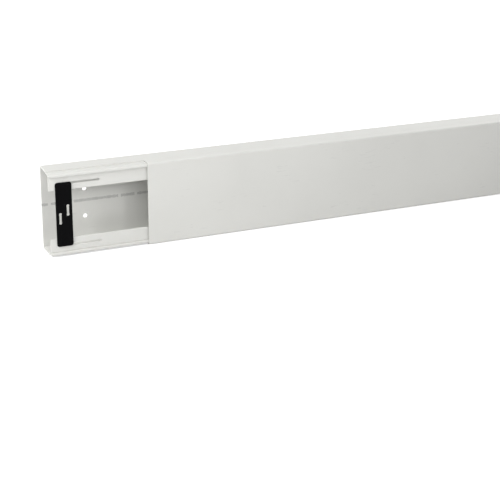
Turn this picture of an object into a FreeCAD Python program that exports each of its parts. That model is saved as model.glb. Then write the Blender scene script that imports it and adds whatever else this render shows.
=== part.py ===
import FreeCAD, Part
import math
import os

# Wall trunking in light grey PVC: a base profile, a hooked cover drawn back along
# it, and the black clip that bridges the base's open front.
# X runs along the stock, +Y points at the wall, +Z is up. The origin is the
# middle of the underside. Sizes are millimetres.

# Stock
LENGTH = 2000.0  # each profile, as sold
HEIGHT = 150.0  # closed trunking, along the wall face
DEPTH = 60.0  # closed trunking, out from the wall
COVER_SETBACK = 175.0  # cover's end behind the base's end, at rest

# Base profile
BASE_WALL = 2.2
BACK_CORNER = 0.8  # outer corners at the wall face
INNER_CORNER = 1.0  # inner corners at the back wall and the jog
NOSE_HEIGHT = 5.6  # bead along the front of each side wall
NOSE_EDGE = 0.8  # rounding of the bead towards the rail
NOSE_EASE = 1.0  # bead's outer radius beyond the cover's inner radius
RAIL_RECESS = 3.4  # bead's front to the rail's face
CREASE_WIDTH = 0.9  # relief groove where the rail leaves the bead
CREASE_DEPTH = 0.6
RAIL_EDGE = 0.9  # rounding of the rail's free edge
RAIL_ROOT = 2.0  # inner radius where the rail leaves the side wall
RAIL_REACH = 32.0  # outer side face to the rail's free edge

# Fixing holes in the back wall
HOLE_DIAMETER = 8.0
HOLE_SPACING = 50.0  # across the back wall
HOLE_END = 77.0  # end of the base to the first pair
HOLE_PAIRS = 6

# Slots for the clip, near each end of both rails. The clip stands at one end of them.
SLOT_INSET = 20.0  # outer side face to the slot's middle
SLOT_LENGTH = 73.0  # between the middles of its round ends

# Cover profile
COVER_WALL = 2.0
COVER_CORNER = 3.5  # outer radius along the front edges
COVER_FLANGE = 20.0  # cover's front face to its rim
RIM_EDGE = 0.5
HOOK_FROM_RIM = 1.0
HOOK_WIDTH = 2.2
HOOK_REACH = 0.6
HOOK_SLOPE = 0.6  # run of each sloping side of the hook and its groove

# Retaining clip
CLIP_WIDTH = 28.6
CLIP_THICKNESS = 2.0
CLIP_CORNER = 4.2
CLIP_EDGE = 0.4  # rounding of the front edges
CLIP_END = 11.0  # end of the base to the clip
CLIP_BEYOND_TAB = 0.5  # bar beyond each tab
TAB_THICKNESS = 2.0
TAB_BEHIND_RAIL = 2.6
BARB_REACH = 1.2
EYE_DIAMETER = 5.4  # round ends of the bar's two long openings
EYE_DISTANCE = 15.6  # between the two eyes of one opening
WAIST_WIDTH = 4.4
OPENING_ALONG = 6.8  # each opening from the bar's middle, along the stock
OPENING_ACROSS = 7.0  # and across it

# Clearances
COVER_FIT = 0.3  # cover to base, on every side
TAB_FIT = 0.25  # tab in its slot, barb included, on each side
BARB_FIT = 0.15  # barb behind the rail
OVERCUT = 1.0  # cutters past each face of what they go through

# Places that the pieces share: along the stock, out from the wall face, and up or
# down from the middle plane
TO_WALL = FreeCAD.Vector(0, 1, 0)
base_start = -(LENGTH + COVER_SETBACK) / 2
cover_start = base_start + COVER_SETBACK
clip_middle = base_start + CLIP_END + CLIP_WIDTH / 2
tab_width = CLIP_WIDTH - 2 * CLIP_CORNER
slot_end = CLIP_END + CLIP_CORNER - TAB_FIT
slot_width = TAB_THICKNESS + BARB_REACH + 2 * TAB_FIT
rim_out = DEPTH - COVER_FLANGE
hook_out = rim_out + HOOK_FROM_RIM
nose_out = DEPTH - COVER_WALL - COVER_FIT
rail_out = nose_out - RAIL_RECESS
rail_back = rail_out - BASE_WALL
outer_half = HEIGHT / 2
cover_inner_half = outer_half - COVER_WALL
hook_half = cover_inner_half - HOOK_REACH
nose_half = cover_inner_half - COVER_FIT
slot_half = outer_half - SLOT_INSET
tab_half = slot_half + slot_width / 2 - TAB_FIT
mouth_half = outer_half - RAIL_REACH
cover_inner_radius = max(COVER_CORNER - COVER_WALL, 0)


def place(x, out, up):
    """Point at x along the stock, out from the wall and up from the middle."""
    return FreeCAD.Vector(x, DEPTH / 2 - out, HEIGHT / 2 + up)


def corner_arc(before, corner, after, radius):
    """Tangent arc in a corner between two points, or None for a sharp corner."""
    if radius <= 0:
        return None
    to_before = (before - corner).normalize()
    to_after = (after - corner).normalize()
    half_angle = to_before.getAngle(to_after) / 2
    cut = radius / math.tan(half_angle)
    bisector = (to_before + to_after).normalize()
    middle = corner + bisector * (radius / math.sin(half_angle) - radius)
    return Part.Arc(corner + to_before * cut, middle, corner + to_after * cut).toShape()


def rounded_face(corners):
    """Flat face from (point, radius) corners in order."""
    points = [point for point, _ in corners]
    following = points[1:] + points[:1]
    arcs = []
    for index, (point, radius) in enumerate(corners):
        arcs.append(corner_arc(points[index - 1], point, following[index], radius))
    edges = []
    for point, next_point, arc, next_arc in zip(points, following, arcs, arcs[1:] + arcs[:1]):
        if arc:
            edges.append(arc)
        line_start = arc.lastVertex().Point if arc else point
        line_end = next_arc.firstVertex().Point if next_arc else next_point
        edges.append(Part.LineSegment(line_start, line_end).toShape())
    return Part.Face(Part.Wire(edges))


def profile(half_outline, start):
    """Full length of stock from one half of its section, mirrored in the middle plane."""
    upper = [(place(start, out, up), radius) for out, up, radius in half_outline]
    lower = [(place(start, out, -up), radius) for out, up, radius in reversed(half_outline)]
    return rounded_face(upper + lower).extrude(FreeCAD.Vector(LENGTH, 0, 0))


def base_half_outline():
    """Half of the base's section, from the wall face round the bead and back inside."""
    seat_out = rim_out - COVER_FIT
    groove_near = hook_out - COVER_FIT
    groove_far = hook_out + HOOK_WIDTH + COVER_FIT
    groove_half = hook_half - COVER_FIT
    bead_radius = cover_inner_radius + NOSE_EASE
    crease_half = nose_half - NOSE_HEIGHT
    crease_out = rail_out - CREASE_DEPTH
    rail_start_half = crease_half - CREASE_WIDTH
    rear_inner_half = outer_half - BASE_WALL
    front_inner_half = nose_half - BASE_WALL
    jog_end = seat_out - BASE_WALL
    jog_start = jog_end - (rear_inner_half - front_inner_half)
    return [
        (0, outer_half, BACK_CORNER),
        (seat_out, outer_half, RIM_EDGE),
        (seat_out, nose_half, 0),
        (groove_near, nose_half, 0),
        (groove_near + HOOK_SLOPE, groove_half, 0),
        (groove_far - HOOK_SLOPE, groove_half, 0),
        (groove_far, nose_half, 0),
        (nose_out, nose_half, bead_radius),
        (nose_out, crease_half, NOSE_EDGE),
        (crease_out, crease_half, 0),
        (crease_out, rail_start_half, 0),
        (rail_out, rail_start_half, 0),
        (rail_out, mouth_half, RAIL_EDGE),
        (rail_back, mouth_half, RAIL_EDGE),
        (rail_back, front_inner_half, RAIL_ROOT),
        (jog_end, front_inner_half, INNER_CORNER),
        (jog_start, rear_inner_half, INNER_CORNER),
        (BASE_WALL, rear_inner_half, INNER_CORNER),
    ]


def cover_half_outline():
    """Half of the cover's section, with the hook inside its flange."""
    hook_far = hook_out + HOOK_WIDTH
    return [
        (DEPTH, outer_half, COVER_CORNER),
        (rim_out, outer_half, RIM_EDGE),
        (rim_out, cover_inner_half, RIM_EDGE),
        (hook_out, cover_inner_half, 0),
        (hook_out + HOOK_SLOPE, hook_half, 0),
        (hook_far - HOOK_SLOPE, hook_half, 0),
        (hook_far, cover_inner_half, 0),
        (DEPTH - COVER_WALL, cover_inner_half, cover_inner_radius),
    ]


def long_opening(first, last, width, eye, wall):
    """Cutter through a wall, from one round eye to another."""
    across = (last - first).normalize().cross(TO_WALL) * (width / 2)
    start = TO_WALL * -OVERCUT
    depth = wall + 2 * OVERCUT
    corners = [first + across, last + across, last - across, first - across]
    opening = rounded_face([(corner + start, 0) for corner in corners]).extrude(TO_WALL * depth)
    eyes = [Part.makeCylinder(eye / 2, depth, centre + start, TO_WALL) for centre in (first, last)]
    return opening.fuse(eyes)


def fixing_holes():
    """Cutters for the holes in the back wall, in pairs along the base."""
    pitch = (LENGTH - 2 * HOLE_END) / (HOLE_PAIRS - 1)
    holes = []
    for pair in range(HOLE_PAIRS):
        x = base_start + HOLE_END + pair * pitch
        for side in (-1, 1):
            start = place(x, BASE_WALL + OVERCUT, side * HOLE_SPACING / 2)
            holes.append(Part.makeCylinder(HOLE_DIAMETER / 2, BASE_WALL + 2 * OVERCUT, start, TO_WALL))
    return holes


def rail_slots():
    """Cutters for the slots in both rails, near each end of the base."""
    slots = []
    for first in (slot_end, LENGTH - slot_end - SLOT_LENGTH):
        for side in (-1, 1):
            start = place(base_start + first, rail_out, side * slot_half)
            end = place(base_start + first + SLOT_LENGTH, rail_out, side * slot_half)
            slots.append(long_opening(start, end, slot_width, slot_width, BASE_WALL))
    return slots


def base_channel():
    """Tray with stepped side walls, beads and inward rails."""
    return profile(base_half_outline(), base_start).cut(fixing_holes() + rail_slots())


def cover():
    """Flat front with two hooked flanges."""
    return profile(cover_half_outline(), cover_start)


def clip_tab(side):
    """Tab through one rail's slot, with a sloping barb that catches behind the rail."""
    inner = tab_half - TAB_THICKNESS
    tip_out = rail_back - TAB_BEHIND_RAIL
    catch_out = rail_back - BARB_FIT
    outline = [
        (rail_out, inner),
        (tip_out, inner),
        (tip_out, tab_half),
        (catch_out, tab_half + BARB_REACH),
        (catch_out, tab_half),
        (rail_out, tab_half),
    ]
    corners = [(place(clip_middle - tab_width / 2, out, side * up), 0) for out, up in outline]
    return rounded_face(corners).extrude(FreeCAD.Vector(tab_width, 0, 0))


def clip_opening(side):
    """Cutter for one of the bar's two staggered openings."""
    x = clip_middle + side * OPENING_ALONG
    middle = side * OPENING_ACROSS
    front = rail_out + CLIP_THICKNESS
    low_eye = place(x, front, middle - EYE_DISTANCE / 2)
    high_eye = place(x, front, middle + EYE_DISTANCE / 2)
    return long_opening(low_eye, high_eye, WAIST_WIDTH, EYE_DIAMETER, CLIP_THICKNESS)


def retaining_clip():
    """Bar across the rails, held by a tab in each rail's slot."""
    half_length = tab_half + CLIP_BEYOND_TAB
    corners = []
    for x, up in ((-1, -1), (1, -1), (1, 1), (-1, 1)):
        point = place(clip_middle + x * CLIP_WIDTH / 2, rail_out + CLIP_THICKNESS, up * half_length)
        corners.append((point, CLIP_CORNER))
    front = rounded_face(corners)
    bar = front.extrude(TO_WALL * CLIP_THICKNESS)
    front_edges = [edge for edge in bar.Edges if any(edge.isSame(rim) for rim in front.Edges)]
    bar = bar.makeFillet(CLIP_EDGE, front_edges)
    return bar.fuse([clip_tab(-1), clip_tab(1)]).cut([clip_opening(-1), clip_opening(1)])


def write(name, shape):
    """Writes a piece as parts/NAME.step and says whether it is one valid solid."""
    tidy = shape.removeSplitter()
    print(name, "valid", tidy.isValid(), "solids", len(tidy.Solids), "volume", round(tidy.Volume))
    tidy.exportStep(os.path.join("parts", name + ".step"))


def main():
    """Builds and writes every piece."""
    os.makedirs("parts", exist_ok=True)
    write("base_channel", base_channel())
    write("cover", cover())
    write("retaining_clip", retaining_clip())


main()
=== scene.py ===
"""Wall trunking for cables: base profile, drawn-back cover and black clip, in a plain studio.

Lengths are in metres and angles in degrees. X runs along the stock, Y towards the wall, Z up.
"""

import logging
import math
from dataclasses import dataclass, field, replace
from enum import Enum
from functools import reduce
from typing import Callable

import bmesh
import bpy
from mathutils import Euler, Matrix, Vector

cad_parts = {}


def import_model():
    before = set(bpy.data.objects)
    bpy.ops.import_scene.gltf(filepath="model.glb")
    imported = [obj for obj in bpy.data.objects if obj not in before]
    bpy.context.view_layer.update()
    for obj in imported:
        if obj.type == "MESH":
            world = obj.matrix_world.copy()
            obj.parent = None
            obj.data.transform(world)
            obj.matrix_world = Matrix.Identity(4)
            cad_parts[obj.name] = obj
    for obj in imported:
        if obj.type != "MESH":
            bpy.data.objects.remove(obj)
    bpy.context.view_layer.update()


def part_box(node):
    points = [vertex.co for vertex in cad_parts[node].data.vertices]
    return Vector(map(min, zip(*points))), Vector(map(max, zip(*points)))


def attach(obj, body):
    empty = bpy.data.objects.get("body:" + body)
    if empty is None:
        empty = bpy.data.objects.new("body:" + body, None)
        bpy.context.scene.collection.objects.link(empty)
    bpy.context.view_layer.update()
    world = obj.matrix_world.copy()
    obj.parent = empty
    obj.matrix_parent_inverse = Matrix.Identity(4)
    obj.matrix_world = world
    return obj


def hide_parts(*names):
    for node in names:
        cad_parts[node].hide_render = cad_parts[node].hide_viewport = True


LOG = logging.getLogger("trunking")
TOUCH = 1e-6
SAME_PLACE = 1e-5
WELD = 1e-5
ALIGNED = 0.999
FLAT_ANGLE = 0.5
EASED_ANGLE = 50.0
EASED_STEPS = 2
SMOOTH_ANGLE = 30.0
NORMAL_WEIGHT = 100
EYE_SIDES = 40
WHITE = (1.0, 1.0, 1.0, 1.0)

Pair = tuple[float, float]
Triple = tuple[float, float, float]
Colour = tuple[float, float, float, float]
Socket = bpy.types.NodeSocket
Sockets = bpy.types.NodeOutputs
Inputs = dict[str | int, object]
PlaceTest = Callable[[Vector], bool]


class Facing(Enum):
    """Ways that a flat face of a piece, or the plane of a cut, can look."""

    FRONT = (0.0, -1.0, 0.0)
    WALL = (0.0, 1.0, 0.0)
    UP = (0.0, 0.0, 1.0)
    DOWN = (0.0, 0.0, -1.0)
    ALONG = (1.0, 0.0, 0.0)

    def by(self, distance: float) -> Vector:
        """A step of this length, this way."""
        return Vector(self.value) * distance

    def matches(self, normal: Vector) -> bool:
        """Whether a face's unit normal looks this way, to two or three degrees."""
        return normal.dot(Vector(self.value)) > ALIGNED


def near(value: float, wanted: float) -> bool:
    """Whether two lengths are the same place."""
    return abs(value - wanted) < SAME_PLACE


def leave_all() -> None:
    """Leaves edit mode and selects nothing."""
    if bpy.context.object and bpy.context.object.mode != "OBJECT":
        bpy.ops.object.mode_set(mode="OBJECT")
    bpy.ops.object.select_all(action="DESELECT")


def fix_place() -> None:
    """Puts the selected object's place into its mesh."""
    bpy.ops.object.transform_apply(location=True, rotation=True, scale=True)


@dataclass
class Workpiece:
    """A mesh under the hands of its maker, shaped by edit-mode operators."""

    name: str
    body: bpy.types.Object = field(init=False)

    def start_box(self, low: Vector, high: Vector) -> None:
        """Adds the first block.

        Args:
            low: Its lowest corner.
            high: Its highest corner.
        """
        leave_all()
        bpy.ops.mesh.primitive_cube_add(size=1.0, location=(low + high) / 2, scale=high - low)
        self._adopt()

    def start_half(self, low: Vector, high: Vector, mark: float) -> None:
        """Adds the first block of an upper half, open below and scored all round.

        Args:
            low: Its lowest corner.
            high: Its highest corner.
            mark: The height of the score.
        """
        self.start_box(low, high)
        self._pick_faces(Facing.DOWN, lambda middle: True)
        bpy.ops.mesh.delete(type="FACE")
        self._pick_all()
        self._cut(Facing.UP, mark)

    def start_cylinder(self, middle: Vector, radius: float, depth: float, sides: int) -> None:
        """Adds a first cylinder, lying along Y.

        Args:
            middle: Its centre.
            radius: Its radius.
            depth: Its length along Y.
            sides: How many flat sides stand for its round.
        """
        leave_all()
        bpy.ops.mesh.primitive_cylinder_add(
            vertices=sides, radius=radius, depth=depth, location=middle, rotation=(math.pi / 2, 0, 0)
        )
        self._adopt()

    def _adopt(self) -> None:
        """Takes the new primitive as this piece, with its place in its mesh."""
        self.body = bpy.context.object
        self.body.name = self.name
        self.body.data.name = self.name
        fix_place()

    def activate(self) -> None:
        """Makes this the one selected and active object."""
        leave_all()
        self.body.select_set(True)
        bpy.context.view_layer.objects.active = self.body

    def close(self) -> None:
        """Leaves edit mode."""
        bpy.ops.object.mode_set(mode="OBJECT")

    def _pick_all(self) -> None:
        """Selects the whole mesh and stays in edit mode."""
        self.activate()
        bpy.ops.object.mode_set(mode="EDIT")
        bpy.ops.mesh.select_all(action="SELECT")

    def _pick(self, mode: str, wanted: Callable[[object], bool]) -> None:
        """Selects some of the mesh's parts and stays in edit mode.

        Args:
            mode: Which parts, VERT, EDGE or FACE.
            wanted: Says whether a part is wanted.
        """
        bpy.ops.object.mode_set(mode="EDIT")
        bpy.ops.mesh.select_mode(type=mode)
        bpy.ops.mesh.select_all(action="DESELECT")
        mesh = bmesh.from_edit_mesh(self.body.data)
        parts = {"VERT": mesh.verts, "EDGE": mesh.edges, "FACE": mesh.faces}[mode]
        found = [part for part in parts if wanted(part)]
        if not found:
            raise ValueError(f"{self.name}: nothing found to work on ({mode})")
        for part in found:
            part.select_set(True)
        bmesh.update_edit_mesh(self.body.data)

    def _pick_faces(self, facing: Facing, test: PlaceTest) -> None:
        """Selects the faces that look one way and whose middle passes a test."""
        self._pick("FACE", lambda face: facing.matches(face.normal) and test(face.calc_center_median()))

    def push(self, facing: Facing, test: PlaceTest, distance: float) -> None:
        """Extrudes the wanted faces.

        Args:
            facing: The way that they look.
            test: Picks them by middle.
            distance: How far they go that way, or back if it is below 0.
        """
        self._pick_faces(facing, test)
        bpy.ops.mesh.extrude_region_move(TRANSFORM_OT_translate={"value": facing.by(distance)})
        self.close()

    def shift_edge(self, y: float, z: float, by: Vector) -> None:
        """Moves the edge that runs along the stock at one place of the section.

        Args:
            y: The edge's place towards the wall.
            z: The edge's height.
            by: How far it goes.
        """
        self._pick("VERT", lambda corner: near(corner.co.y, y) and near(corner.co.z, z))
        bpy.ops.transform.translate(value=by)
        self.close()

    def score(self, facing: Facing, y: float, plane: Facing, distance: float) -> None:
        """Cuts faces along a plane, without removing anything.

        Args:
            facing: The way that the faces look.
            y: Their place towards the wall.
            plane: The way that the plane looks.
            distance: How far the plane is from the origin, that way.
        """
        self._pick_faces(facing, lambda middle: near(middle.y, y))
        self._cut(plane, distance)

    def _cut(self, plane: Facing, distance: float) -> None:
        """Cuts what is selected along a plane and leaves edit mode."""
        bpy.ops.mesh.bisect(plane_co=plane.by(distance), plane_no=plane.value, threshold=TOUCH)
        self.close()

    def merge_flats(self) -> None:
        """Makes one face of neighbours that lie in one plane."""
        self._pick_all()
        bpy.ops.mesh.dissolve_limited(angle_limit=math.radians(FLAT_ANGLE))
        self.close()

    def bevel_edges(self, test: Callable[[Vector, Vector], bool], radius: float, steps: int) -> None:
        """Rounds the wanted edges.

        Args:
            test: Picks them by the places of their two ends.
            radius: The offset of the bevel, which on a square edge is its radius.
            steps: How many flats stand for the round.
        """
        self._pick("EDGE", lambda edge: test(edge.verts[0].co, edge.verts[1].co))
        bpy.ops.mesh.bevel(offset=radius, segments=steps, profile=0.5, affect="EDGES")
        self.close()

    def round_long_edge(self, y: float, z: float, radius: float, steps: int) -> None:
        """Rounds the edge that runs along the stock at one place of the section.

        Args:
            y: The edge's place towards the wall.
            z: The edge's height.
            radius: The offset of the bevel.
            steps: How many flats stand for the round.
        """
        self.bevel_edges(
            lambda a, b: all(near(end.y, y) and near(end.z, z) for end in (a, b)) and abs(a.x - b.x) > TOUCH,
            radius,
            steps,
        )

    def apply(self, kind: str, **settings: object) -> None:
        """Adds one modifier, sets it and applies it.

        Args:
            kind: The modifier's type.
            settings: Its values by name.
        """
        self.activate()
        bpy.ops.object.modifier_add(type=kind)
        modifier = self.body.modifiers[-1]
        for key, value in settings.items():
            setattr(modifier, key, value)
        bpy.ops.object.modifier_apply(modifier=modifier.name)

    def copied(self, by: Vector) -> "Workpiece":
        """A copy with its own mesh, moved from this piece.

        Args:
            by: How far it is moved.

        Returns:
            The copy.
        """
        self.activate()
        bpy.ops.object.duplicate(linked=False)
        twin = Workpiece(self.name)
        twin.body = bpy.context.object
        bpy.ops.transform.translate(value=by)
        fix_place()
        return twin

    def cut_out(self, cutter: "Workpiece") -> None:
        """Takes a cutter's shape out of this piece and welds the slivers that the cut leaves.

        Args:
            cutter: The piece whose shape goes. It is removed.
        """
        self.apply("BOOLEAN", operation="DIFFERENCE", solver="EXACT", use_self=True, object=cutter.body)
        bpy.data.objects.remove(cutter.body, do_unlink=True)
        self._pick_all()
        bpy.ops.mesh.remove_doubles(threshold=WELD)
        bpy.ops.mesh.dissolve_degenerate(threshold=WELD)
        self.close()

    def mirror_down(self, middle: float) -> None:
        """Adds the lower half of a piece that was modelled above the level z = 0, and lifts
        the whole.

        Args:
            middle: The height of its middle plane then.
        """
        self.apply("MIRROR", use_axis=(False, False, True), use_clip=True, merge_threshold=TOUCH)
        self.activate()
        bpy.ops.transform.translate(value=(0, 0, middle))
        fix_place()

    def ease_edges(self, width: float, angle: float = EASED_ANGLE) -> None:
        """Breaks every sharp edge that is left.

        Args:
            width: How wide the broken edge is.
            angle: Edges that turn less than this stay.
        """
        self.apply(
            "BEVEL",
            width=width,
            segments=EASED_STEPS,
            limit_method="ANGLE",
            angle_limit=math.radians(angle),
            use_clamp_overlap=True,
        )

    def settle(self) -> bpy.types.Object:
        """Merges doubles, turns every face outwards and sets the shading.

        Returns:
            The finished object.
        """
        self._pick_all()
        bpy.ops.mesh.remove_doubles(threshold=TOUCH)
        bpy.ops.mesh.normals_make_consistent(inside=False)
        self.close()
        bpy.ops.object.shade_smooth_by_angle(angle=math.radians(SMOOTH_ANGLE))
        self.apply("WEIGHTED_NORMAL", keep_sharp=True, weight=NORMAL_WEIGHT)
        return self.body


def join(pieces: list[Workpiece], name: str) -> Workpiece:
    """Joins several pieces into the first of them.

    Args:
        pieces: What is joined.
        name: The joined piece's name.

    Returns:
        The joined piece.
    """
    leave_all()
    for piece in pieces:
        piece.body.select_set(True)
    bpy.context.view_layer.objects.active = pieces[0].body
    bpy.ops.object.join()
    pieces[0].name = name
    pieces[0].body.name = name
    return pieces[0]


def long_slot(name: str, first: Vector, last: Vector, eye: float, waist: float, depth: float) -> Workpiece:
    """Cutter for a long opening with a round eye at each end, which runs along +X or +Z.

    Args:
        name: The cutter's name.
        first: The middle of the first eye.
        last: The middle of the other.
        eye: The eyes' radius.
        waist: Half the width between them.
        depth: How deep the cutter is, along Y.

    Returns:
        The cutter.
    """
    run = last - first
    along = run.normalized()
    reach = Vector((along.z * waist, depth / 2, along.x * waist))
    waist_box = Workpiece(name)
    waist_box.start_box(first - reach, last + reach)
    round_end = Workpiece(name)
    round_end.start_cylinder(first, eye, depth, EYE_SIDES)
    return join([waist_box, round_end, round_end.copied(run)], name)


@dataclass(frozen=True)
class Hook:
    """The inward hook of the cover's flanges, which the base's groove takes."""

    from_rim: float = 0.0010
    width: float = 0.0022
    reach: float = 0.0006
    slope: float = 0.0006


class TrunkingPiece:
    """What the three pieces have in common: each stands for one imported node."""

    def dress(
        self, piece: bpy.types.Object, material: bpy.types.Material, slot: str, node: str, body: str
    ) -> None:
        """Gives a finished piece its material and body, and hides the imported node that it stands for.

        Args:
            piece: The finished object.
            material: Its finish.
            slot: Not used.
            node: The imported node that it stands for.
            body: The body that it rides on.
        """
        piece.data.materials.clear()
        piece.data.materials.append(material)
        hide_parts(node)
        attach(piece, body)
        LOG.info("%s: %d corners, rides on %s", piece.name, len(piece.data.vertices), body)


@dataclass
class BaseProfile(TrunkingPiece):
    """The tray that is screwed to the wall. Places are out from the wall face or up from
    the middle plane."""

    wall: float = 0.0022
    fit: float = 0.0003
    cover_wall: float = 0.0020
    back_round: float = 0.0008
    inner_round: float = 0.0010
    nose_height: float = 0.0056
    nose_round: float = 0.0025
    nose_edge: float = 0.0008
    rail_recess: float = 0.0034
    crease_width: float = 0.0009
    crease_depth: float = 0.0006
    rail_edge: float = 0.0009
    rail_root: float = 0.0020
    rail_reach: float = 0.0320
    rim_edge: float = 0.0005
    hook: Hook = Hook()
    hole_radius: float = 0.0040
    hole_sides: int = 48
    hole_spacing: float = 0.0500
    hole_end: float = 0.0770
    hole_pairs: int = 6
    slot_inset: float = 0.0200
    slot_length: float = 0.0730
    slot_end: float = 0.01495
    slot_half_width: float = 0.00185
    eased: float = 0.00018

    def __post_init__(self) -> None:
        """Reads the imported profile's place and works out the section."""
        self.low, self.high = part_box("base_channel")
        cover_low, cover_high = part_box("cover")
        self.half = (self.high.z - self.low.z) / 2
        self.middle = (self.high.z + self.low.z) / 2
        self.rim = self.high.y - cover_high.y
        self.seat = self.rim - self.fit
        self.step = self.cover_wall + self.fit
        self.jog_end = self.seat - self.wall
        self.nose = self.high.y - self.low.y
        self.rail = self.nose - self.rail_recess
        self.rail_back = self.rail - self.wall
        self.crease = self.rail - self.crease_depth
        self.rear_inner = self.half - self.wall
        self.nose_half = self.half - self.step
        self.inner_half = self.nose_half - self.wall
        self.crease_half = self.nose_half - self.nose_height
        self.rail_start = self.crease_half - self.crease_width
        self.mouth_half = self.half - self.rail_reach

    def make(self, material: bpy.types.Material) -> None:
        """Models the base and dresses it in the given material."""
        self.dress(self.build(), material, "light_grey_pvc", "base_channel", "base")

    def out(self, distance: float) -> float:
        """The y of a place this far out from the wall face."""
        return self.high.y - distance

    def build(self) -> bpy.types.Object:
        """Models the profile by extruding its section face by face.

        Returns:
            The finished object.
        """
        piece = Workpiece("trunking_base")
        inner_corner = Vector((self.low.x, self.out(self.wall), 0.0))
        piece.start_half(inner_corner, Vector((self.high.x, self.out(0.0), self.half)), self.rear_inner)
        self._draw_side_wall(piece)
        self._draw_front_wall(piece)
        self._draw_rail(piece)
        self._round_corners(piece)
        piece.mirror_down(self.middle)
        piece.ease_edges(self.eased)
        self._punch(piece)
        return piece.settle()

    def _draw_side_wall(self, piece: Workpiece) -> None:
        """Raises the rear side wall and its jog.

        Args:
            piece: The profile so far, the upper half of the back wall.
        """
        stops = (self.wall, self.jog_end - self.step, self.jog_end, self.seat)
        for last, stop in zip(stops, stops[1:]):
            piece.push(
                Facing.FRONT,
                lambda middle: near(middle.y, self.out(last)) and middle.z > self.rear_inner - self.step,
                stop - last,
            )
            if stop == self.jog_end:
                piece.shift_edge(self.out(stop), self.rear_inner, Facing.DOWN.by(self.step))

    def _draw_front_wall(self, piece: Workpiece) -> None:
        """Steps the wall in under the cover, out to the nose, with the hooks' groove.

        Args:
            piece: The profile with its rear side wall.
        """
        groove_near = self.rim + self.hook.from_rim - self.fit
        groove_far = self.rim + self.hook.from_rim + self.hook.width + self.fit
        piece.score(Facing.FRONT, self.out(self.seat), Facing.UP, self.nose_half)
        stops = (self.seat, groove_near, groove_far, self.rail_back, self.crease, self.rail, self.nose)
        for last, stop in zip(stops, stops[1:]):
            piece.push(
                Facing.FRONT,
                lambda middle: near(middle.y, self.out(last)) and middle.z < self.nose_half,
                stop - last,
            )
        groove_middle = self.out((groove_near + groove_far) / 2)
        piece.push(Facing.UP, lambda middle: near(middle.y, groove_middle), -self.hook.reach)
        for edge, by in ((groove_near, -self.hook.slope), (groove_far, self.hook.slope)):
            piece.shift_edge(self.out(edge), self.nose_half - self.hook.reach, Facing.WALL.by(by))

    def _draw_rail(self, piece: Workpiece) -> None:
        """Turns the front inwards: the bead, then the rail behind it.

        Args:
            piece: The profile with its front wall.
        """
        piece.push(
            Facing.DOWN,
            lambda middle: near(middle.z, self.inner_half) and middle.y < self.out(self.rail_back),
            self.inner_half - self.crease_half,
        )
        for start, stop in ((self.crease_half, self.rail_start), (self.rail_start, self.mouth_half)):
            piece.push(
                Facing.DOWN,
                lambda middle: near(middle.z, start) and middle.y > self.out(self.crease),
                start - stop,
            )
        rail_middle = (self.rail_start + self.mouth_half) / 2
        piece.push(
            Facing.FRONT,
            lambda middle: near(middle.y, self.out(self.crease)) and near(middle.z, rail_middle),
            self.crease_depth,
        )
        piece.merge_flats()

    def _round_corners(self, piece: Workpiece) -> None:
        """Rounds the section's corners, each given by its place, radius and number of flats.

        Args:
            piece: The upper half of the profile, still sharp.
        """
        rounds = (
            (0.0, self.half, self.back_round, 4),
            (self.seat, self.half, self.rim_edge, 3),
            (self.nose, self.nose_half, self.nose_round, 10),
            (self.nose, self.crease_half, self.nose_edge, 5),
            (self.rail, self.mouth_half, self.rail_edge, 6),
            (self.rail_back, self.mouth_half, self.rail_edge, 6),
            (self.rail_back, self.inner_half, self.rail_root, 8),
            (self.jog_end, self.inner_half, self.inner_round / 2, 4),
            (self.jog_end - self.step, self.rear_inner, self.inner_round / 2, 4),
            (self.wall, self.rear_inner, self.inner_round, 5),
        )
        for distance, height, radius, steps in rounds:
            piece.round_long_edge(self.out(distance), height, radius, steps)

    def _punch(self, piece: Workpiece) -> None:
        """Punches the screw holes and the clip's slots.

        Args:
            piece: The whole profile.
        """
        length = self.high.x - self.low.x
        pitch = (length - 2 * self.hole_end) / (self.hole_pairs - 1)
        depth = 3 * self.wall
        lowest = self.middle - self.hole_spacing / 2
        centre = Vector((self.low.x + self.hole_end, self.out(self.wall / 2), lowest))
        hole = Workpiece("hole")
        hole.start_cylinder(centre, self.hole_radius, depth, self.hole_sides)
        slot_reach = self.half - self.slot_inset
        slot_y = self.out(self.rail - self.wall / 2)
        first = Vector((self.low.x + self.slot_end, slot_y, self.middle - slot_reach))
        last = first + Vector((self.slot_length, 0, 0))
        slot = long_slot("slot", first, last, self.slot_half_width, self.slot_half_width, depth)
        far_slot = length - 2 * self.slot_end - self.slot_length
        pairs, rows = range(self.hole_pairs), (0, 1)
        hole_steps = [(pair * pitch, row * self.hole_spacing) for pair in pairs for row in rows]
        slot_steps = [(along, row * 2 * slot_reach) for along in (0, far_slot) for row in rows]
        cutters = [hole, slot]
        for cutter, steps in ((hole, hole_steps), (slot, slot_steps)):
            cutters += [cutter.copied(Vector((along, 0, up))) for along, up in steps[1:]]
        piece.cut_out(join(cutters, "punch"))


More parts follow.
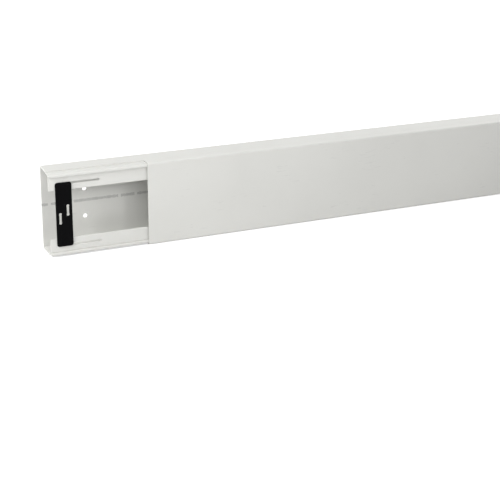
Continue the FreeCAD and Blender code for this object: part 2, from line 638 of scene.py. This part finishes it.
@dataclass
class CoverProfile(TrunkingPiece):
    """The hooked cover."""

    wall: float = 0.0020
    front_round: float = 0.0035
    inner_round: float = 0.0015
    rim_edge: float = 0.0005
    hook: Hook = Hook()
    eased: float = 0.00018

    def make(self, material: bpy.types.Material) -> None:
        """Models the cover and dresses it in the given material."""
        self.dress(self.build(), material, "light_grey_cover_pvc", "cover", "cover")

    def build(self) -> bpy.types.Object:
        """Models the cover from its front wall, flange and hook.

        Returns:
            The finished object.
        """
        low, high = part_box("cover")
        half = (high.z - low.z) / 2
        inner_half = half - self.wall
        back_of_front = low.y + self.wall
        hook_far = high.y - self.hook.from_rim
        hook_near = hook_far - self.hook.width
        piece = Workpiece("trunking_cover")
        piece.start_half(Vector((low.x, low.y, 0.0)), Vector((high.x, back_of_front, half)), inner_half)
        stops = (back_of_front, hook_near, hook_far, high.y)
        for last, stop in zip(stops, stops[1:]):
            piece.push(
                Facing.WALL, lambda middle: near(middle.y, last) and middle.z > inner_half, stop - last
            )
        hook_middle = (hook_near + hook_far) / 2
        piece.push(Facing.DOWN, lambda middle: near(middle.y, hook_middle), self.hook.reach)
        for edge, by in ((hook_near, self.hook.slope), (hook_far, -self.hook.slope)):
            piece.shift_edge(edge, inner_half - self.hook.reach, Facing.WALL.by(by))
        piece.merge_flats()
        piece.round_long_edge(low.y, half, self.front_round, 12)
        piece.round_long_edge(back_of_front, inner_half, self.inner_round, 6)
        piece.round_long_edge(high.y, half, self.rim_edge, 3)
        piece.round_long_edge(high.y, inner_half, self.rim_edge, 3)
        piece.mirror_down((high.z + low.z) / 2)
        piece.ease_edges(self.eased)
        return piece.settle()


@dataclass
class ClipBar(TrunkingPiece):
    """The moulded bar across the mouth. The tips of its barbs lose nearly all of their
    reach, and keep a trace of it so that no two corners meet."""

    thickness: float = 0.0020
    corner_round: float = 0.0042
    front_edge: float = 0.0004
    beyond_tab: float = 0.0005
    tab_thickness: float = 0.0020
    rail_wall: float = 0.0022
    barb_fit: float = 0.00015
    barb_reach: float = 0.0012
    barb_taper: float = 0.999
    eye_radius: float = 0.0027
    eye_distance: float = 0.0156
    waist: float = 0.0022
    opening_along: float = 0.0068
    opening_across: float = 0.0070
    eased: float = 0.00012
    eased_angle: float = 40.0

    def __post_init__(self) -> None:
        """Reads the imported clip's place and works out its faces."""
        low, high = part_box("retaining_clip")
        self.middle = (low + high) / 2
        self.front = low.y
        self.back = self.front + self.thickness
        self.tip = high.y
        self.half_width = (high.x - low.x) / 2
        self.tab_outer = (high.z - low.z) / 2 - self.barb_reach
        self.tab_inner = self.tab_outer - self.tab_thickness

    def make(self, material: bpy.types.Material) -> None:
        """Models the clip and dresses it in the given material."""
        self.dress(self.build(), material, "black_plastic", "retaining_clip", "base")

    def build(self) -> bpy.types.Object:
        """Models the bar, its two openings and its barbed tabs.

        Returns:
            The finished object.
        """
        x, z = self.middle.x, self.middle.z
        half_length = self.tab_outer + self.beyond_tab
        piece = Workpiece("clip_bar")
        piece.start_box(
            Vector((x - self.half_width, self.front, z - half_length)),
            Vector((x + self.half_width, self.back, z + half_length)),
        )
        piece.bevel_edges(lambda a, b: abs(a.y - b.y) > TOUCH, self.corner_round, 12)
        piece.bevel_edges(lambda a, b: near(a.y, self.front) and near(b.y, self.front), self.front_edge, 5)
        self._raise_tabs(piece)
        centre = Vector((x - self.opening_along, self.back, z - self.opening_across))
        reach = Vector((0, 0, self.eye_distance / 2))
        ends = (centre - reach, centre + reach)
        opening = long_slot("opening", *ends, self.eye_radius, self.waist, 3 * self.thickness)
        stagger = Vector((2 * self.opening_along, 0, 2 * self.opening_across))
        piece.cut_out(join([opening, opening.copied(stagger)], "openings"))
        piece.ease_edges(self.eased, self.eased_angle)
        return piece.settle()

    def _raise_tabs(self, piece: Workpiece) -> None:
        """Raises a barbed tab near each end of the bar's back.

        Args:
            piece: The bar.
        """
        x, z = self.middle.x, self.middle.z
        catch = self.back + self.rail_wall + self.barb_fit
        half_width = self.half_width - self.corner_round
        for side in (-1, 1):
            for height in (self.tab_inner, self.tab_outer):
                piece.score(Facing.WALL, self.back, Facing.UP, z + side * height)
        for side in (-1, 1):
            piece.score(Facing.WALL, self.back, Facing.ALONG, x + side * half_width)
        tab_middle = (self.tab_inner + self.tab_outer) / 2
        for start, stop in ((self.back, catch), (catch, self.tip)):
            piece.push(
                Facing.WALL,
                lambda middle: near(middle.y, start)
                and abs(abs(middle.z - z) - tab_middle) < self.tab_thickness / 4
                and abs(middle.x - x) < half_width / 2,
                stop - start,
            )
        for side, facing in ((-1, Facing.DOWN), (1, Facing.UP)):
            piece.push(
                facing,
                lambda middle: near(middle.y, (catch + self.tip) / 2)
                and near(middle.z, z + side * self.tab_outer),
                self.barb_reach,
            )
            barb_z = z + side * (self.tab_outer + self.barb_reach)
            piece.shift_edge(self.tip, barb_z, facing.by(-self.barb_reach * self.barb_taper))


def tone(red: int, green: int, blue: int) -> Colour:
    """A screen colour as the linear colour that a shader takes.

    Args:
        red: Red, 0 to 255.
        green: Green, 0 to 255.
        blue: Blue, 0 to 255.

    Returns:
        Linear red, green, blue and 1.
    """

    def linear(value: int) -> float:
        """One channel, by the usual screen curve."""
        part = value / 255
        return part / 12.92 if part <= 0.04045 else ((part + 0.055) / 1.055) ** 2.4

    return (linear(red), linear(green), linear(blue), 1.0)


@dataclass(frozen=True)
class Noise:
    """Settings of one noise texture: its scale, its octaves, how far its place is scaled
    along each axis, and the span of its value that becomes 0 to 1."""

    scale: float | Socket
    detail: float = 2.0
    drawn: Triple | None = None
    span: Pair | None = None


@dataclass
class Wiring:
    """A small hand for laying nodes and links in one tree."""

    tree: bpy.types.NodeTree

    def feed(self, node: bpy.types.Node, inputs: Inputs) -> None:
        """Sets or links some of a node's inputs.

        Args:
            node: The node.
            inputs: A socket or a plain value for each input's name or number.
        """
        for key, value in inputs.items():
            if isinstance(value, Socket):
                self.tree.links.new(value, node.inputs[key])
            else:
                node.inputs[key].default_value = value

    def node(self, kind: str, inputs: Inputs | None = None, **settings: object) -> bpy.types.Node:
        """Adds a node.

        Args:
            kind: Its type, without the ShaderNode prefix.
            inputs: A socket or a plain value for each input's name or number.
            settings: Values set on the node by name.

        Returns:
            The new node.
        """
        made = self.tree.nodes.new("ShaderNode" + kind)
        for key, value in settings.items():
            setattr(made, key, value)
        self.feed(made, inputs or {})
        return made

    def maths(self, operation: str, first: object, second: object = 0.0) -> Socket:
        """The result of a Math node on sockets or numbers."""
        return self.node("Math", {0: first, 1: second}, operation=operation).outputs[0]

    def times(self, *factors: object) -> Socket:
        """The product of sockets and numbers."""
        return reduce(lambda first, second: self.maths("MULTIPLY", first, second), factors)

    def plus(self, *terms: object) -> Socket:
        """The sum of sockets and numbers."""
        return reduce(lambda first, second: self.maths("ADD", first, second), terms)

    def parts(self, vector: Socket) -> Sockets:
        """The X, Y and Z of a vector."""
        return self.node("SeparateXYZ", {0: vector}).outputs

    def noise(self, place: Socket, noise: Noise) -> Socket:
        """Adds a noise texture.

        Args:
            place: Where it is read.
            noise: Its settings.

        Returns:
            Its value, about 0.5 on average.
        """
        if noise.drawn:
            place = self.node("VectorMath", {0: place, 1: noise.drawn}, operation="MULTIPLY").outputs[0]
        inputs = {"Scale": noise.scale, "Detail": noise.detail, "Vector": place}
        value = self.node("TexNoise", inputs).outputs["Fac"]
        return self.ramp(value, noise.span) if noise.span else value

    def dice(self, value: Socket) -> Socket:
        """A random number from 0 to 1 for each whole number."""
        return self.node("TexWhiteNoise", {"W": value}, noise_dimensions="1D").outputs["Value"]

    def effect(self, tree: bpy.types.NodeTree, place: Socket) -> bpy.types.Node:
        """Places a shared group and gives it the object's coordinates."""
        return self.node("Group", {"Place": place}, node_tree=tree)

    def over(self, mask: Socket, under: object, upper: Colour, cover: float, least: float = 0.0) -> Socket:
        """A colour laid over another where a mask says.

        Args:
            mask: Where the upper colour lies.
            under: The lower colour, as a socket or plain.
            upper: The upper colour.
            cover: How strongly it covers there.
            least: How strongly it covers everywhere.

        Returns:
            The covered colour.
        """
        share = self.plus(self.times(mask, cover), least)
        return self.node("Mix", {0: share, 6: under, 7: upper}, data_type="RGBA").outputs[2]

    def bump(self, height: Socket, relief: Pair, under: Socket | None = None) -> Socket:
        """Adds a Bump node, on top of another relief if there is one.

        Args:
            height: The relief's height.
            relief: How much of it shows, and its depth.
            under: The normal that it starts from.

        Returns:
            The changed normal.
        """
        made = self.node("Bump", {"Strength": relief[0], "Distance": relief[1], "Height": height})
        if under:
            self.feed(made, {"Normal": under})
        return made.outputs["Normal"]

    def ramp(self, value: Socket, span: Pair) -> Socket:
        """Stretches a range of values to 0 to 1, held at both ends.

        Args:
            value: The value.
            span: What becomes 0 and what becomes 1.

        Returns:
            The stretched value.
        """
        inputs = {"Value": value, "From Min": span[0], "From Max": span[1]}
        return self.node("MapRange", inputs, clamp=True).outputs["Result"]


def open_group(
    name: str, inputs: dict[str, float], outputs: tuple[str, ...]
) -> tuple[Wiring, Sockets, bpy.types.Node]:
    """Starts a shader group with a vector input named Place and plain value sockets.

    Args:
        name: The group's name.
        inputs: Value inputs and their defaults.
        outputs: The value outputs.

    Returns:
        The hand for its tree, what it is given and its output node.
    """
    tree = bpy.data.node_groups.new(name, "ShaderNodeTree")
    tree.interface.new_socket("Place", in_out="INPUT", socket_type="NodeSocketVector")
    for key, value in inputs.items():
        tree.interface.new_socket(key, in_out="INPUT", socket_type="NodeSocketFloat").default_value = value
    for key in outputs:
        tree.interface.new_socket(key, in_out="OUTPUT", socket_type="NodeSocketFloat")
    return Wiring(tree), tree.nodes.new("NodeGroupInput").outputs, tree.nodes.new("NodeGroupOutput")


@dataclass(frozen=True)
class DieLines:
    """Fine lines that an extrusion die leaves along the stock."""

    name: str = "die_lines"
    fine: Noise = Noise(900.0, 3.0, (0.004, 1.0, 1.0))
    broad: Noise = Noise(90.0, 2.0, (0.01, 1.0, 1.0))
    fine_share: float = 0.45
    broad_share: float = 0.55
    streak: Noise = Noise(240.0, 1.0, (0.02, 1.0, 1.0), (0.35, 0.72))

    def group(self) -> bpy.types.NodeTree:
        """Builds the effect.

        Returns:
            A group with the outputs Height and Streak.
        """
        wires, start, end = open_group(self.name, {"Fineness": self.fine.scale}, ("Height", "Streak"))
        place = start["Place"]
        fine = wires.noise(place, replace(self.fine, scale=start["Fineness"]))
        broad = wires.noise(place, self.broad)
        height = wires.plus(wires.times(fine, self.fine_share), wires.times(broad, self.broad_share))
        wires.feed(end, {"Height": height, "Streak": wires.noise(place, self.streak)})
        return wires.tree


@dataclass(frozen=True)
class HandlingMarks:
    """Faint cloudiness and scuffs of plastic that has been stacked and carried."""

    name: str = "handling_marks"
    coverage: float = 0.62
    cloud: Noise = Noise(9.0, 4.0, span=(0.3, 0.7))
    patch: Noise = Noise(22.0)
    scratch: Noise = Noise(420.0, 4.0, (0.12, 1.0, 1.0), (0.58, 0.70))

    def group(self) -> bpy.types.NodeTree:
        """Builds the effect.

        Returns:
            A group with the outputs Cloud and Scuff.
        """
        wires, start, end = open_group(self.name, {"Coverage": self.coverage}, ("Cloud", "Scuff"))
        place = start["Place"]
        cloud = wires.noise(place, self.cloud)
        gate = wires.maths("GREATER_THAN", wires.noise(place, self.patch), start["Coverage"])
        wires.feed(end, {"Cloud": cloud, "Scuff": wires.times(gate, wires.noise(place, self.scratch))})
        return wires.tree


@dataclass(frozen=True)
class SkinGrain:
    """The fine grain of a moulded or extruded plastic skin."""

    name: str = "skin_grain"
    fineness: float = 2500.0

    def group(self) -> bpy.types.NodeTree:
        """Builds the effect.

        Returns:
            A group with the output Height.
        """
        wires, start, end = open_group(self.name, {"Fineness": self.fineness}, ("Height",))
        grain = wires.noise(start["Place"], Noise(start["Fineness"]))
        wires.feed(end, {"Height": grain})
        return wires.tree


@dataclass(frozen=True)
class SawMarks:
    """Marks of the saw on faces that look along the stock. The group's Facing input is the
    X part of the surface normal."""

    name: str = "saw_marks"
    facing_span: Pair = (0.25, 0.85)
    marks: Noise = Noise(1600.0, 3.0, (0.0, 1.0, 0.35))

    def group(self) -> bpy.types.NodeTree:
        """Builds the effect.

        Returns:
            A group with the outputs Mask and Height.
        """
        wires, start, end = open_group(self.name, {"Facing": 0.0}, ("Mask", "Height"))
        # The mask picks the faces that look along the stock. The PVC material roughens them and gives them
        # relief through it, and also paints a shade on their colour.
        mask = wires.ramp(wires.maths("ABSOLUTE", start["Facing"]), self.facing_span)
        wires.feed(end, {"Mask": mask, "Height": wires.noise(start["Place"], self.marks)})
        return wires.tree


@dataclass(frozen=True)
class TickRow:
    """A row of plain printed ticks along the inside of the back wall, with some groups left
    out. Nearest and farthest are places out from the wall face."""

    rise: float = 0.0042
    pitch: float = 0.0017
    share: float = 0.46
    in_group: float = 3.0
    blank_groups: float = 0.14
    least_reach: float = 0.0018
    more_reach: float = 0.0009
    chance_span: Pair = (0.2, 0.6)
    nearest: float = 0.0010
    farthest: float = 0.0030
    wear: Noise = Noise(900.0, span=(0.25, 0.50))

    def mask(self, wires: Wiring, place: Socket) -> Socket:
        """Where the ink lies.

        Args:
            wires: The tree's hand.
            place: The object's coordinates.

        Returns:
            1 on ink and 0 elsewhere, less where it is worn.
        """
        low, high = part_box("base_channel")
        row = (low.z + high.z) / 2 + self.rise
        parts = wires.parts(place)
        count = wires.maths("DIVIDE", parts["X"], self.pitch)
        stroke = wires.maths("LESS_THAN", wires.maths("FRACT", count), self.share)
        chance = wires.dice(wires.maths("FLOOR", count))
        group = wires.dice(wires.maths("FLOOR", wires.maths("DIVIDE", count, self.in_group)))
        written = wires.maths("GREATER_THAN", group, self.blank_groups)
        tall = wires.ramp(chance, self.chance_span)
        reach = wires.plus(wires.times(tall, self.more_reach), self.least_reach)
        off_row = wires.maths("ABSOLUTE", wires.maths("SUBTRACT", parts["Z"], row))
        inside = wires.maths("LESS_THAN", off_row, reach)
        front = wires.maths("GREATER_THAN", parts["Y"], high.y - self.farthest)
        back = wires.maths("LESS_THAN", parts["Y"], high.y - self.nearest)
        return wires.times(stroke, written, inside, front, back, wires.noise(place, self.wear))


def new_material(name: str) -> tuple[bpy.types.Material, Wiring, bpy.types.Node]:
    """A material with its own nodes.

    Args:
        name: Its name.

    Returns:
        The material, the hand for its tree and its Principled shader.
    """
    material = bpy.data.materials.new(name)
    material.use_nodes = True
    return material, Wiring(material.node_tree), material.node_tree.nodes["Principled BSDF"]


@dataclass(frozen=True)
class ExtrudedPvc:
    """Light grey PVC as it leaves the die, satin and very slightly warm. Each kind of mark has its cover
    over the colour, its share of the roughness and its relief. The darker colour of the cut faces that look
    along the stock is a painted shade."""

    name: str = "light_grey_pvc"
    colour: Colour = tone(218, 218, 214)
    shade: Colour = tone(212, 212, 208)
    # Painted shade: the darker colour laid on the cut faces that look along the stock.
    cut_face_shade: Colour = tone(196, 196, 193)
    scuffed: Colour = tone(196, 196, 193)
    ink: Colour = tone(92, 93, 94)
    ticks: TickRow | None = None
    cloud_cover: float = 0.5
    # How strongly the painted shade covers the cut faces.
    cut_shade_cover: float = 0.8
    scuff_cover: float = 0.35
    ink_cover: float = 0.8
    roughness: float = 0.49
    streak_rough: float = 0.07
    scuff_rough: float = 0.10
    cut_rough: float = 0.25
    line_relief: Pair = (0.35, 0.00004)
    grain_relief: Pair = (0.25, 0.00002)
    saw_relief: Pair = (0.6, 0.00012)
    refraction: float = 1.53
    shine: float = 0.30

    def make(self, groups: dict[str, bpy.types.NodeTree]) -> bpy.types.Material:
        """Builds the material.

        Args:
            groups: The shared effect groups by name.

        Returns:
            The material.
        """
        material, wires, shader = new_material(self.name)
        coordinates = wires.node("TexCoord").outputs
        place = coordinates["Object"]
        lines = wires.effect(groups["die_lines"], place).outputs
        marks = wires.effect(groups["handling_marks"], place).outputs
        grain = wires.effect(groups["skin_grain"], place).outputs
        saw_marks = wires.effect(groups["saw_marks"], place)
        wires.feed(saw_marks, {"Facing": wires.parts(coordinates["Normal"])["X"]})
        saw = saw_marks.outputs

        least = (1 - self.cloud_cover) / 2
        colour = wires.over(marks["Cloud"], self.shade, self.colour, self.cloud_cover, least)
        # Painted shade: faces that look along the stock are darkened towards the cut colour.
        colour = wires.over(saw["Mask"], colour, self.cut_face_shade, self.cut_shade_cover)
        colour = wires.over(marks["Scuff"], colour, self.scuffed, self.scuff_cover)
        if self.ticks:
            colour = wires.over(self.ticks.mask(wires, place), colour, self.ink, self.ink_cover)

        streak = wires.times(lines["Streak"], self.streak_rough)
        scuff = wires.times(marks["Scuff"], self.scuff_rough)
        cut = wires.times(saw["Mask"], self.cut_rough)
        normal = wires.bump(lines["Height"], self.line_relief)
        normal = wires.bump(grain["Height"], self.grain_relief, normal)
        normal = wires.bump(wires.times(saw["Mask"], saw["Height"]), self.saw_relief, normal)
        wires.feed(
            shader,
            {
                "Base Color": colour,
                "Roughness": wires.plus(streak, scuff, cut, self.roughness),
                "IOR": self.refraction,
                "Specular IOR Level": self.shine,
                "Normal": normal,
            },
        )
        return material


@dataclass(frozen=True)
class MouldedBlack:
    """Black moulded nylon with a fine eroded grain."""

    name: str = "black_plastic"
    colour: Colour = tone(5, 5, 6)
    worn: Colour = tone(12, 12, 13)
    cloud_cover: float = 0.35
    scuff_cover: float = 0.6
    roughness: float = 0.55
    cloud_rough: float = 0.08
    fineness: float = 1800.0
    grain_relief: Pair = (0.5, 0.00005)
    refraction: float = 1.53
    shine: float = 0.03

    def make(self, groups: dict[str, bpy.types.NodeTree]) -> bpy.types.Material:
        """Builds the material.

        Args:
            groups: The shared effect groups by name.

        Returns:
            The material.
        """
        material, wires, shader = new_material(self.name)
        place = wires.node("TexCoord").outputs["Object"]
        marks = wires.effect(groups["handling_marks"], place).outputs
        grain = wires.effect(groups["skin_grain"], place)
        wires.feed(grain, {"Fineness": self.fineness})
        least = (1 - self.cloud_cover) / 2
        colour = wires.over(marks["Cloud"], self.colour, self.worn, self.cloud_cover, least)
        wires.feed(
            shader,
            {
                "Base Color": wires.over(marks["Scuff"], colour, self.worn, self.scuff_cover),
                "Roughness": wires.plus(wires.times(marks["Cloud"], self.cloud_rough), self.roughness),
                "IOR": self.refraction,
                "Specular IOR Level": self.shine,
                "Normal": wires.bump(grain.outputs["Height"], self.grain_relief),
            },
        )
        return material


@dataclass(frozen=True)
class SoftLamp:
    """One soft lamp: where it hangs, what it points at, its sides and its watts."""

    name: str
    place: Triple
    target: Triple
    width: float
    height: float
    power: float

    def hang(self) -> None:
        """Hangs the lamp, unseen by the camera."""
        light = bpy.data.lights.new(self.name, "AREA")
        light.shape = "RECTANGLE"
        light.size = self.width
        light.size_y = self.height
        light.energy = self.power
        lamp = bpy.data.objects.new(self.name, light)
        bpy.context.scene.collection.objects.link(lamp)
        lamp.location = self.place
        lamp.rotation_euler = (Vector(self.target) - Vector(self.place)).to_track_quat("-Z", "Y").to_euler()
        lamp.visible_camera = False


NEAR_END = (-0.95, 0.0, 0.07)


@dataclass
class Studio:
    """Pale floor, white surround and soft lamps. The floor's own glow grows from near_lift
    to far_lift between two distances from the stock, so that only the shadow shows."""

    floor_half: float = 20.0
    floor_drop: float = 0.0004
    floor_colour: Colour = (0.80, 0.80, 0.80, 1.0)
    near_lift: float = 0.45
    far_lift: float = 0.95
    stock_half: float = 1.1
    glow_span: Pair = (0.5, 1.6)
    world_light: float = 0.20
    lamps: tuple[SoftLamp, ...] = (
        SoftLamp("left_end", (-3.2, -0.5, 0.9), NEAR_END, 1.6, 1.6, 20.8),
        SoftLamp("left_high", (-3.5, -1.0, 2.5), NEAR_END, 1.5, 1.5, 77.0),
        SoftLamp("left_behind", (-2.6, 1.0, 0.8), NEAR_END, 1.2, 1.2, 15.0),
        SoftLamp("front_right", (0.33, -2.9, 1.4), (-4.0, -1.0, 0.0), 0.7, 0.7, 18.5),
        SoftLamp("near_left", (-1.6, -1.3, 1.0), NEAR_END, 0.8, 0.8, 4.5),
        SoftLamp("near_middle", (-1.0, -1.1, 0.8), NEAR_END, 0.6, 0.6, 2.1),
        SoftLamp("behind_far", (0.7, 0.9, 1.4), (0.7, 0.0, 0.07), 1.6, 0.5, 15.0),
        SoftLamp("far_end", (3.4, 0.1, 0.9), (1.0, 0.0, 0.07), 1.2, 1.2, 9.0),
    )

    def build(self) -> None:
        """Lays the floor, sets the surround and hangs the lamps."""
        self._floor()
        self._surround()
        for lamp in self.lamps:
            lamp.hang()

    def _floor(self) -> None:
        """Lays a matt floor that shows nearly white to the camera and keeps shadows."""
        leave_all()
        bpy.ops.mesh.primitive_plane_add(size=2 * self.floor_half, location=(0, 0, -self.floor_drop))
        floor = bpy.context.object
        floor.name = "floor"
        fix_place()
        material, wires, shader = new_material("pale_floor")
        material.node_tree.nodes.remove(shader)
        away = self._from_stock(wires, wires.node("TexCoord").outputs["Object"])
        share = wires.ramp(away, self.glow_span)
        lift = wires.plus(wires.times(share, self.far_lift - self.near_lift), self.near_lift)
        diffuse = wires.node("BsdfDiffuse", {"Color": self.floor_colour})
        glow = wires.node("Emission", {"Strength": wires.times(seen_rays(wires), lift)})
        total = wires.node("AddShader", {0: diffuse.outputs[0], 1: glow.outputs[0]})
        wires.feed(material.node_tree.nodes["Material Output"], {"Surface": total.outputs[0]})
        floor.data.materials.append(material)

    def _from_stock(self, wires: Wiring, place: Socket) -> Socket:
        """How far a place on the floor is from the line that the stock stands on.

        Args:
            wires: The tree's hand.
            place: The floor's coordinates.

        Returns:
            The distance.
        """
        parts = wires.parts(place)
        past_end = wires.maths("SUBTRACT", wires.maths("ABSOLUTE", parts["X"]), self.stock_half)
        beyond = wires.maths("POWER", wires.maths("MAXIMUM", past_end, 0.0), 2.0)
        beside = wires.times(parts["Y"], parts["Y"])
        return wires.maths("SQRT", wires.plus(beyond, beside))

    def _surround(self) -> None:
        """Makes a world that lights softly and shows white to the camera."""
        world = bpy.data.worlds.new("surround")
        bpy.context.scene.world = world
        world.use_nodes = True
        wires = Wiring(world.node_tree)
        lift = wires.times(seen_rays(wires), 1.0 - self.world_light)
        strength = wires.plus(lift, self.world_light)
        wires.feed(world.node_tree.nodes["Background"], {"Color": WHITE, "Strength": strength})


def seen_rays(wires: Wiring) -> Socket:
    """1 for rays that end in the picture, straight, mirrored or through glass.

    Args:
        wires: The tree's hand.

    Returns:
        The mask.
    """
    path = wires.node("LightPath").outputs
    bright = wires.maths("MAXIMUM", path["Is Camera Ray"], path["Is Glossy Ray"])
    return wires.maths("MAXIMUM", bright, path["Is Transmission Ray"])


@dataclass(frozen=True)
class CameraStand:
    """The camera, placed at the viewing angle of the reference."""

    place: Triple = (-1.5723, -1.9706, 0.7329)
    turn_right: float = 23.752
    look_down: float = 15.318
    focal_pixels: float = 1225.5
    picture_pixels: float = 500.0
    sensor_width: float = 36.0
    lens_shift: float = -0.20
    farthest: float = 100.0

    def build(self) -> None:
        """Creates the camera and makes it the scene's own."""
        data = bpy.data.cameras.new("camera")
        data.sensor_fit = "HORIZONTAL"
        data.sensor_width = self.sensor_width
        data.lens = self.focal_pixels / self.picture_pixels * self.sensor_width
        data.shift_y = self.lens_shift
        data.clip_end = self.farthest
        camera = bpy.data.objects.new("camera", data)
        bpy.context.scene.collection.objects.link(camera)
        camera.location = self.place
        tilt = math.radians(90.0 - self.look_down)
        camera.rotation_euler = Euler((tilt, 0.0, math.radians(-self.turn_right)), "XYZ")
        bpy.context.scene.camera = camera


def main() -> None:
    """Builds the trunking, its finishes, the studio and the camera."""
    logging.basicConfig(level=logging.INFO, format="%(name)s: %(message)s")
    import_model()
    effects = (DieLines(), HandlingMarks(), SkinGrain(), SawMarks())
    groups = {effect.name: effect.group() for effect in effects}
    base_finish = ExtrudedPvc(ticks=TickRow()).make(groups)
    # The cover's cut faces get a darker painted shade, standing in for the shadow along the cover's edge.
    cover_finish = ExtrudedPvc(name="light_grey_cover_pvc", cut_face_shade=tone(164, 164, 161)).make(groups)
    black = MouldedBlack().make(groups)
    BaseProfile().make(base_finish)
    CoverProfile().make(cover_finish)
    ClipBar().make(black)
    Studio().build()
    CameraStand().build()
    bpy.context.scene.view_settings.view_transform = "Standard"


if __name__ == "__main__":
    main()
